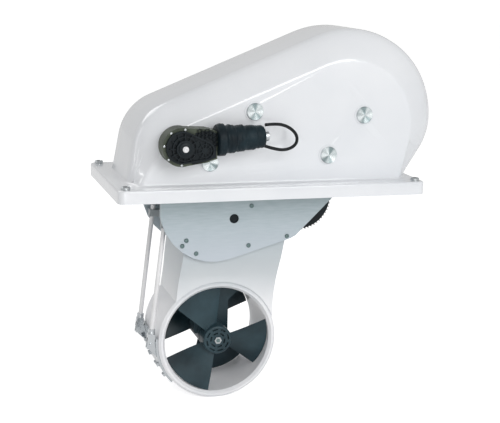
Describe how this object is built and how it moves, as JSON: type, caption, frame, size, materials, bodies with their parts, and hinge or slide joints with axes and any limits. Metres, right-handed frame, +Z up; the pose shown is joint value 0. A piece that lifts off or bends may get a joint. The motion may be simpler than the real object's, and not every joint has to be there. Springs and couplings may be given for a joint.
{
  "type": "retractable bow thruster",
  "caption": "Swing-type retractable bow thruster: teardrop moulded housing on a hull flange, side-mounted actuator, swinging leg with tunnel and twin propellers.",
  "frame": {"origin": "centre of the flange's underside, which bolts down on the hull's recess", "axes": "+X along the flange towards the big round end, +Y away from the actuator side, +Z up"},
  "size_m": [0.56, 0.302, 0.6353],
  "materials": {
    "gelcoat": "gloss",
    "stainless": "satin",
    "frame_plate": "satin",
    "painted_alloy": "satin",
    "bronze": "satin",
    "black_motor": "matte",
    "black_plastic": "matte",
    "grey_casting": "matte",
    "rubber": "matte",
    "steel": "satin",
    "blade_composite": "satin"
  },
  "bodies": {
    "housing": {"housing_shell": "gelcoat", "flange_bushes": "stainless", "panel_caps": "stainless", "frame_bolts": "stainless", "frame_spacers": "stainless", "frame_cheek_near": "frame_plate", "frame_cheek_far": "frame_plate", "pivot_pins": "stainless", "actuator_gearbox": "grey_casting", "actuator_cover": "black_plastic", "actuator_motor": "black_motor", "actuator_end_boss": "stainless", "actuator_screws": "stainless", "shaft_seal": "rubber", "actuator_lead": "rubber"},
    "actuator_output": {"output_shaft": "stainless", "shaft_screw": "stainless", "drive_pinion": "steel"},
    "leg": {"near_side_plate": "painted_alloy", "far_side_plate": "painted_alloy", "plate_screws": "stainless", "leg_casting": "painted_alloy", "tunnel_ring": "painted_alloy", "drive_leg": "blade_composite", "strut_screws": "stainless", "pivot_bushes": "bronze", "thruster_motor": "black_motor", "motor_end_bell": "black_motor", "motor_drive_bell": "black_motor", "motor_screws": "stainless", "motor_terminals": "bronze", "motor_bearings": "steel", "upper_belt": "rubber", "lower_belt": "rubber", "jack_bearings": "steel", "shaft_bearings": "steel", "shaft_seals": "rubber", "closure_rods": "stainless", "rod_clevises": "stainless", "clevis_pins": "stainless", "closure_bracket": "stainless", "bracket_bolts": "stainless", "rod_brackets": "frame_plate"},
    "motor_rotor": {"rotor_shaft": "stainless", "motor_pulley": "steel"},
    "jack_shaft": {"jack_shaft": "stainless", "jack_pulley": "steel", "jack_drive_pulley": "steel"},
    "propeller_shaft": {"propeller_shaft": "stainless", "shaft_pulley": "steel", "propeller_near": "blade_composite", "propeller_far": "blade_composite", "propeller_nuts": "stainless"}
  },
  "joints": [
    {"name": "leg_swing", "type": "hinge", "parent": "housing", "child": "leg", "pos_m": [-0.054, 0, -0.044], "axis": [0, -1, 0], "range_deg": [0, 90]},
    {"name": "actuator_turn", "type": "hinge", "parent": "housing", "child": "actuator_output", "pos_m": [-0.15847, 0, 0.08757], "axis": [0, -1, 0], "range_deg": [-540, 0]},
    {"name": "propeller_spin", "type": "hinge", "parent": "leg", "child": "propeller_shaft", "pos_m": [-0.0747, 0, -0.2598], "axis": [0, -1, 0], "continuous": true},
    {"name": "jack_spin", "type": "hinge", "parent": "leg", "child": "jack_shaft", "pos_m": [-0.066, 0, -0.112], "axis": [0, -1, 0], "continuous": true},
    {"name": "motor_spin", "type": "hinge", "parent": "leg", "child": "motor_rotor", "pos_m": [0.07, 0, -0.017], "axis": [0, -1, 0], "continuous": true}
  ],
  "couplings": [
    {"joint": "actuator_turn", "follows": "leg_swing", "ratio": -6},
    {"joint": "jack_spin", "follows": "propeller_spin", "ratio": 1},
    {"joint": "motor_spin", "follows": "propeller_spin", "ratio": 1.2857}
  ]
}
